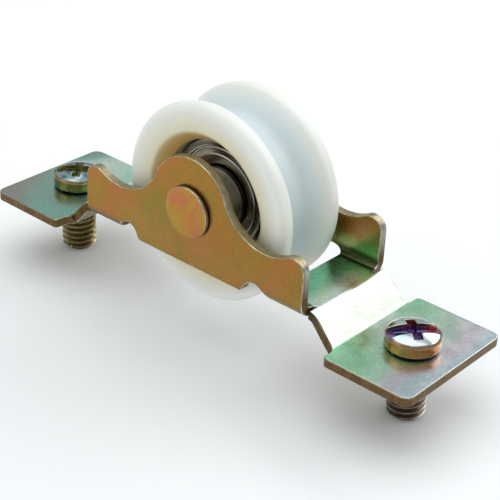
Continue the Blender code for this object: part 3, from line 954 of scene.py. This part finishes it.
def level_film_with_painted_light(tree, place, slope):
    """Thicker from the strip's left end to its right, from grey-olive through green to lilac. A pale
    highlight is painted on the slopes and just before each fold, and shade is painted brown
    underneath."""
    x, y, z = axes_of(tree, place)
    drift = spread(tree, noise(tree, place, 62, 0.7, 0.3), 0.25, 0.75, -6 * MM, 6 * MM)
    slant = maths(tree, "MULTIPLY", y, spread(tree, x, -MM, MM, 0.62, 0.35))
    thickness = maths(tree, "ADD", maths(tree, "ADD", x, drift), slant)
    inputs = {"Value": thickness, "From Min": -HALF_LENGTH, "From Max": HALF_LENGTH}
    thickness = add_node(tree, "MapRange", inputs).outputs["Result"]
    stops = [(0.01, (0.38, 0.38, 0.32)), (0.09, (0.29, 0.55, 0.44)), (0.17, (0.8, 0.94, 0.82))]
    stops += [(0.3, (0.34, 0.8, 0.56)), (0.74, (0.36, 0.84, 0.58)), (0.83, (0.38, 0.7, 0.44))]
    stops += [(0.89, (0.52, 0.7, 0.55)), (0.955, (0.64, 0.57, 0.62)), (1.0, (0.51, 0.6, 0.62))]
    colour = ramp(tree, thickness, stops)
    fold = CHEEK_HALF_LENGTH
    along = maths(tree, "ABSOLUTE", x)
    # painted highlight: pale just before each fold
    painted_highlight_before_fold = spread(tree, along, fold - 3.5 * MM, fold, 0, 0.85)
    short_of_tab = spread(tree, along, fold + 3 * MM, fold + 4 * MM, 1, 0)
    colour = mixed(tree, product(tree, painted_highlight_before_fold, short_of_tab), colour, (0.86, 0.97, 0.86))
    # painted highlight: pale on the slopes
    colour = mixed(tree, slope, colour, (0.74, 0.8, 0.73))
    # painted shade: brown on faces turned down
    underneath_painted_shade = spread(tree, upwards(tree), -0.4, 0.1, 1, 0)
    return mixed(tree, underneath_painted_shade, colour, (0.22, 0.145, 0.062))


def fold_painted_shade(tree, place, below_fold):
    """1 in the fold between the base and each cheek, where a dark line of shade is painted."""
    along, across, z = distances(tree, place)
    return product(
        tree,
        below_fold,
        spread(tree, across, BEND_START - 0.7 * MM, BEND_START),
        spread(tree, across, CHEEK_INSIDE, CHEEK_INSIDE + 0.3 * MM, 1, 0),
        spread(tree, z, BASE_RISE, BASE_RISE + 0.3 * MM),
        spread(tree, along, CHEEK_HALF_LENGTH, CHEEK_HALF_LENGTH + 0.2 * MM, 1, 0),
    )


def sheared_colour(tree, streaks, z, level_face):
    """Dull brown low down, greyer on the cheeks' upper ends, and olive-grey where it faces up."""
    low = ramp(tree, streaks, [(0.35, (0.125, 0.075, 0.034)), (0.65, (0.185, 0.115, 0.053))])
    high = ramp(tree, streaks, [(0.35, (0.33, 0.33, 0.29)), (0.65, (0.5, 0.51, 0.48))])
    upright = mixed(tree, spread(tree, z, 0.45 * HORN_TOP, 0.95 * HORN_TOP, 0, 0.85), low, high)
    level = ramp(tree, streaks, [(0.35, (0.31, 0.26, 0.15)), (0.65, (0.44, 0.38, 0.24))])
    return mixed(tree, spread(tree, level_face, 0.4, 0.9), upright, level)


def rubbed_and_highlight_share(tree, place, on_head):
    """How far a rim is rubbed bare and painted pale as a highlight: patchy and broken, and little on
    the rivet heads' undersides, which face away from the light.
    """
    patchy = spread(tree, noise(tree, place, 700, 3), 0.38, 0.62, 0.35, 0.95)
    broken = spread(tree, noise(tree, place, 2300, 2), 0.42, 0.56, 0.45, 1)
    unlit_head_underside = product(tree, on_head, spread(tree, upwards(tree), -0.3, 0.3, 0.9, 0))
    return product(tree, patchy, broken, maths(tree, "SUBTRACT", 1.0, unlit_head_underside))


def zinc_material():
    """Yellow passivated zinc, filmed differently on level and upright faces, partly as a painted
    reflection, with painted shade in the folds, dull sheared edges, and roundings worn pale beside
    them, partly as a painted highlight."""
    made, tree, shader = blank_material("yellow_zinc")
    place = object_place(tree)
    along, across, z = distances(tree, place)
    level_face = level_share(tree)
    slope = product(
        tree,
        spread(tree, level_face, 0.86, 0.995, 1, 0),
        spread(tree, along, CHEEK_HALF_LENGTH - MM, CHEEK_HALF_LENGTH + MM),
        spread(tree, upwards(tree), 0.3, 0.6),
    )
    below_fold = spread(tree, z, BEND_CENTRE_Z, BEND_CENTRE_Z + MM, 1, 0)
    # Colour by facing: partly the film's own colour, partly a painted reflection and sheen, green
    # where level and brown-gold where upright
    lying = product(tree, spread(tree, level_face, 0.25, 0.8), below_fold)
    colour = mixed(tree, lying, upright_film_and_reflection(tree, place), level_film_with_painted_light(tree, place, slope))
    # painted shade: dark along each fold
    colour = mixed(tree, fold_painted_shade(tree, place, below_fold), colour, (0.08, 0.1, 0.04))

    edge = attribute(tree, "cut_edge")
    shear = add_node(tree, "VectorMath", {0: place, 1: (1, 1, 0.15)}, operation="MULTIPLY").outputs[0]
    streaks = noise(tree, shear, 1500, 3)
    sheared = sheared_colour(tree, streaks, z, level_face)
    colour = mixed(tree, spread(tree, edge, 0.5, 0.95), colour, sheared)
    rim = worn_rim(tree, edge)
    rubbed_and_highlight = rubbed_and_highlight_share(tree, place, on_rivet_head(tree, across))
    # pale rims: partly real wear, partly painted highlight, whitest on the cheeks
    bare_and_highlight = mixed(tree, below_fold, (0.7, 0.65, 0.53), (0.86, 0.86, 0.83))
    colour = mixed(tree, product(tree, rim, rubbed_and_highlight), colour, bare_and_highlight)
    colour = mixed(tree, product(tree, rim, slope), colour, (0.24, 0.165, 0.085))
    stops = [(0.28, (0.78, 0.78, 0.76)), (0.66, (1, 1, 1))]
    mottle = ramp(tree, noise(tree, place, 2400, 4), stops)
    colour = mixed(tree, 0.75, colour, mottle, "MULTIPLY")

    polish = spread(tree, noise(tree, place, 320, 3), 0.3, 0.7, 0.2, 0.31)
    polish = maths(tree, "ADD", polish, product(tree, edge, 0.1))
    metal_finish(tree, shader, colour, polish)
    grain = mixed(tree, edge, noise(tree, place, 900, 3), streaks)
    bumped(tree, shader, grain, 0.003 * MM)
    return made


def nylon_material():
    """White nylon: cloudy, a little translucent, with painted warm light on the faces towards the
    recess, painted amber shade in the recess and painted cool shade in the groove, with fine turning
    lines round the axle."""
    made, tree, shader = blank_material("white_nylon")
    place = object_place(tree)
    radius, y = round_axle(tree, place)
    cloud = noise(tree, place, 90, 2)
    colour = ramp(tree, cloud, [(0.3, (0.85, 0.845, 0.775)), (0.7, (0.87, 0.88, 0.84))])
    face = spread(tree, maths(tree, "ABSOLUTE", y), 5.6 * MM, 6.8 * MM)
    # painted warm light on the faces near the recess
    painted_warm_light = product(tree, face, spread(tree, radius, 11 * MM, 15.5 * MM, 1, 0))
    colour = mixed(tree, painted_warm_light, colour, (0.83, 0.775, 0.55))
    # painted shade: amber in the recess beside the bearing
    recess = spread(tree, radius, 10.5 * MM, 12.0 * MM, 1, 0)
    colour = mixed(tree, recess, colour, (0.92, 0.62, 0.2))
    # painted shade: cooler and darker in the groove
    groove_painted_shade = spread(tree, maths(tree, "ABSOLUTE", y), 2.2 * MM, 4.6 * MM, 1, 0)
    colour = mixed(tree, groove_painted_shade, colour, (0.68, 0.75, 0.75))
    tree.links.new(colour, shader.inputs["Base Color"])
    shader.inputs["Subsurface Weight"].default_value = 0.35
    shader.inputs["Subsurface Radius"].default_value = (1.0, 0.85, 0.55)
    shader.inputs["Subsurface Scale"].default_value = 1.6 * MM
    roughness = spread(tree, noise(tree, place, 500, 3), 0.3, 0.7, 0.36, 0.48)
    tree.links.new(roughness, shader.inputs["Roughness"])
    shader.inputs["IOR"].default_value = 1.53
    bumped(tree, shader, turning_lines(tree, radius, y, 4500), 0.006 * MM, 0.6)
    return made


def round_axle(tree, place):
    """A place's distance from the axle, and its place along it."""
    x, y, z = axes_of(tree, place)
    return length_of(tree, {"X": x, "Z": maths(tree, "SUBTRACT", z, AXLE_Z)}), y


def turning_lines(tree, radius, y, scale):
    """Fine rings round the axle."""
    rings = add_node(tree, "CombineXYZ", {"X": radius, "Y": y}).outputs[0]
    return noise(tree, rings, scale, 3.0)


def steel_material(name, dark, light, roughness, line_depth, glint_ridges):
    """Turned or ground steel: two shades in soft patches, with lines round the axle. A bright
    highlight is painted at the radii of its ridges."""
    made, tree, shader = blank_material(name)
    place = object_place(tree)
    radius, y = round_axle(tree, place)
    lines = turning_lines(tree, radius, y, 5200)
    patches = noise(tree, place, 260, 3)
    shade = product(tree, maths(tree, "ADD", patches, lines), 0.5)
    colour = ramp(tree, shade, [(0.35, dark), (0.65, light)])
    for glint_ridge in glint_ridges:
        off = maths(tree, "ABSOLUTE", maths(tree, "SUBTRACT", radius, glint_ridge))
        # painted highlight: a bright ring at each ridge's radius
        painted_glint = spread(tree, off, 0.05 * MM, 0.2 * MM, 0.8, 0)
        colour = mixed(tree, painted_glint, colour, (0.85, 0.84, 0.8))
    metal_finish(tree, shader, colour, spread(tree, lines, 0.3, 0.7, *roughness))
    bumped(tree, shader, lines, line_depth)
    return made


def screw_film_and_reflection(tree, place, cloud, right):
    """Gold on a head's side, a painted brown reflection on its shoulder and foot, and a crown pale
    partly from its film and partly as a painted reflection. The left screw is greener, and bluer in
    patches on the crown."""
    stops = [(0.32, (0.36, 0.16, 0.06)), (0.52, (0.6, 0.34, 0.11)), (0.68, (0.4, 0.19, 0.07))]
    upright = ramp(tree, cloud, stops)
    upright = mixed(tree, right, mixed(tree, 0.6, upright, (0.2, 0.26, 0.08)), upright)
    stops = [(0.32, (0.43, 0.56, 0.58)), (0.5, (0.6, 0.68, 0.65)), (0.68, (0.5, 0.52, 0.56))]
    level = ramp(tree, cloud, stops)
    shaded = spread(tree, noise(tree, place, 500, 2), 0.35, 0.6, 0.35, 1)
    level = mixed(tree, right, mixed(tree, shaded, level, (0.12, 0.21, 0.22)), level)
    levelness = level_share(tree)
    # painted reflection: brown on the shoulder and foot, mirroring the tab
    colour = mixed(tree, spread(tree, levelness, 0.15, 0.4), upright, (0.33, 0.2, 0.13))
    return mixed(tree, spread(tree, levelness, 0.6, 0.9), colour, level)


def recess_film(tree, place, right):
    """Purple with red and blue on the right screw, yellow-green on the left."""
    patches = noise(tree, place, 420, 1.5)
    stops = [(0.35, (0.16, 0.22, 0.42)), (0.5, (0.36, 0.25, 0.5)), (0.62, (0.45, 0.1, 0.14))]
    purple = ramp(tree, patches, stops)
    stops = [(0.35, (0.16, 0.3, 0.1)), (0.5, (0.45, 0.46, 0.12)), (0.65, (0.2, 0.26, 0.3))]
    return mixed(tree, right, ramp(tree, patches, stops), purple)


def thread_painted_shade_and_highlight(tree, place, cloud, right):
    """Painted shade and highlight: roots dark olive on the left and dark brown on the right, with
    bright crests.
    """
    along, across, z = distances(tree, place)
    from_axis = maths(tree, "SUBTRACT", along, SCREW_X)
    radius = length_of(tree, {"X": from_axis, "Y": across})
    crest_highlight = spread(tree, radius, THREAD_RADIUS - 0.2 * MM, THREAD_RADIUS - 0.02 * MM)
    crest_highlight = product(tree, crest_highlight, spread(tree, cloud, 0.3, 0.55, 0.4, 1))
    root_painted_shade = mixed(tree, right, (0.2, 0.155, 0.07), (0.12, 0.09, 0.06))
    crest_painted_highlight = mixed(tree, right, (0.62, 0.56, 0.34), (0.74, 0.72, 0.7))
    return mixed(tree, crest_highlight, root_painted_shade, crest_painted_highlight)


def screw_material():
    """Bright passivated zinc on the heads, partly painted reflection, with a thicker film in the
    recesses, and threads painted dark with bright crests as painted shade and highlight.
    """
    made, tree, shader = blank_material("screw_zinc")
    place = object_place(tree)
    x, y, z = axes_of(tree, place)
    right = spread(tree, x, -MM, MM)
    cloud = noise(tree, place, 210, 2, 0.6)
    colour = screw_film_and_reflection(tree, place, cloud, right)
    colour = mixed(tree, attribute(tree, "recess"), colour, recess_film(tree, place, right))
    below = spread(tree, z, SHEET, SHEET + GAP, 1, 0)
    # painted shade and highlight on the threads below the head
    colour = mixed(tree, below, colour, thread_painted_shade_and_highlight(tree, place, cloud, right))
    stops = [(0.3, (0.78, 0.76, 0.74)), (0.6, (1, 1, 1))]
    grime = ramp(tree, noise(tree, place, 1500, 3), stops)
    colour = mixed(tree, 0.6, colour, grime, "MULTIPLY")
    roughness = spread(tree, noise(tree, place, 900, 3), 0.3, 0.7, 0.11, 0.22)
    roughness = maths(tree, "ADD", roughness, product(tree, below, 0.15))
    metal_finish(tree, shader, colour, roughness)
    bumped(tree, shader, noise(tree, place, 3000, 3), 0.003 * MM)
    return made


# The stage


def make_floor():
    """A pale matt square just under the screws' tips."""
    half = 3.0
    clearance = 0.05 * MM
    z = SHEET + GAP - SCREW_LENGTH - clearance
    mesh = bpy.data.meshes.new("floor")
    corners = [(-half, -half, z), (half, -half, z), (half, half, z), (-half, half, z)]
    mesh.from_pydata(corners, [], [(0, 1, 2, 3)])
    made, tree, shader = blank_material("pale_floor")
    shader.inputs["Base Color"].default_value = (0.93, 0.93, 0.92, 1)
    shader.inputs["Roughness"].default_value = 0.9
    mesh.materials.append(made)
    add_object("floor", mesh)


def add_softbox(name, place, target, size, power, colour):
    light = bpy.data.lights.new(name, "AREA")
    light.shape = "RECTANGLE"
    light.size, light.size_y = size
    light.energy = power
    light.color = colour
    obj = add_object(name, light)
    obj.location = place
    obj.rotation_mode = "QUATERNION"
    obj.rotation_quaternion = (Vector(place) - Vector(target)).to_track_quat("Z", "Y")


def light_stage():
    """A soft overhead box, a wide bright one behind to the right, a fill from the front left and
    a pale sky all round."""
    middle = (0, 0, 0.01)
    add_softbox("overhead", (-0.12, 0.0, 0.8), middle, (0.9, 0.9), 2.9, (0.96, 0.985, 1.0))
    add_softbox("back_right", (0.15, 0.55, 0.43), middle, (0.8, 0.34), 1.9, (1, 1, 1))
    add_softbox("front_left", (-0.45, -0.7, 0.42), middle, (0.6, 0.5), 0.7, (1.0, 0.99, 0.96))
    world = bpy.data.worlds.new("studio")
    world.use_nodes = True
    tree = world.node_tree
    background = tree.nodes["Background"]
    direction = add_node(tree, "TexCoord").outputs["Generated"]
    height = axes_of(tree, direction)[2]
    stops = [(0.0, (0.55, 0.5, 0.44)), (0.3, (0.8, 0.84, 0.86)), (1.0, (0.88, 0.95, 1.0))]
    sky = ramp(tree, spread(tree, height, -0.2, 1.0), stops)
    tree.links.new(sky, background.inputs["Color"])
    background.inputs["Strength"].default_value = 0.66
    bpy.context.scene.world = world


def make_camera():
    """Above and to the right of the front, with a slight roll."""
    azimuth, elevation, roll = radians(40.28), radians(29.59), radians(2.72)
    target = Vector((4.0, 0, 4.5)) * MM
    distance = 221.7 * MM
    flat = cos(elevation)
    back = Vector((sin(azimuth) * flat, -cos(azimuth) * flat, sin(elevation)))
    level_right = Vector((cos(azimuth), sin(azimuth), 0))
    level_up = back.cross(level_right)
    right = level_right * cos(roll) + level_up * sin(roll)
    up = back.cross(right)
    lens = bpy.data.cameras.new("camera")
    lens.lens = 101.9
    lens.sensor_width = 36
    lens.clip_start = 0.01
    camera = add_object("camera", lens)
    turn = Matrix((right, up, back)).transposed().to_4x4()
    camera.matrix_world = Matrix.Translation(target + back * distance) @ turn
    bpy.context.scene.camera = camera


def main():
    for obj in list(bpy.data.objects):
        bpy.data.objects.remove(obj, do_unlink=True)
    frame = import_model()
    groups = frame["record"]["behaviour"]["bodies"]
    body_of = {node: body for body, nodes in groups.items() for node in nodes}
    finishes = {
        "yellow_zinc": zinc_material(),
        "nylon": nylon_material(),
        "screw_zinc": screw_material(),
    }
    for name, (dark, light, roughness, line_depth, glint_ridges) in STEELS.items():
        finishes[name] = steel_material(name, dark, light, roughness, line_depth, glint_ridges)

    def stand_for(piece, node, slot):
        piece.data.materials.append(finishes[slot])
        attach(piece, body_of[node])
        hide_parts(node)

    stand_for(make_bracket(), "bracket", "yellow_zinc")
    stand_for(make_wheel(), "wheel", "nylon")
    stand_for(make_outer_ring(), "bearing_outer_ring", "bearing_steel")
    stand_for(make_inner_ring(), "bearing_inner_ring", "bearing_steel")
    stand_for(make_rivet(), "axle_rivet", "yellow_zinc")
    for i in range(BALL_COUNT):
        stand_for(make_ball(i), f"ball_{i + 1}", "ball_steel")
    for end, side in (("near", -1), ("far", 1)):
        stand_for(make_shield("shield_" + end, side), "shield_" + end, "shield_steel")
        stand_for(make_cage_half("cage_half_" + end, side), "cage_half_" + end, "cage_steel")
        stand_for(make_spacer("spacer_" + end, side), "spacer_" + end, "collar_steel")
    for end, side in (("left", -1), ("right", 1)):
        stand_for(make_screw(end, side), "screw_" + end, "screw_zinc")
    make_floor()
    light_stage()
    make_camera()
    bpy.context.scene.view_settings.view_transform = "Standard"


main()
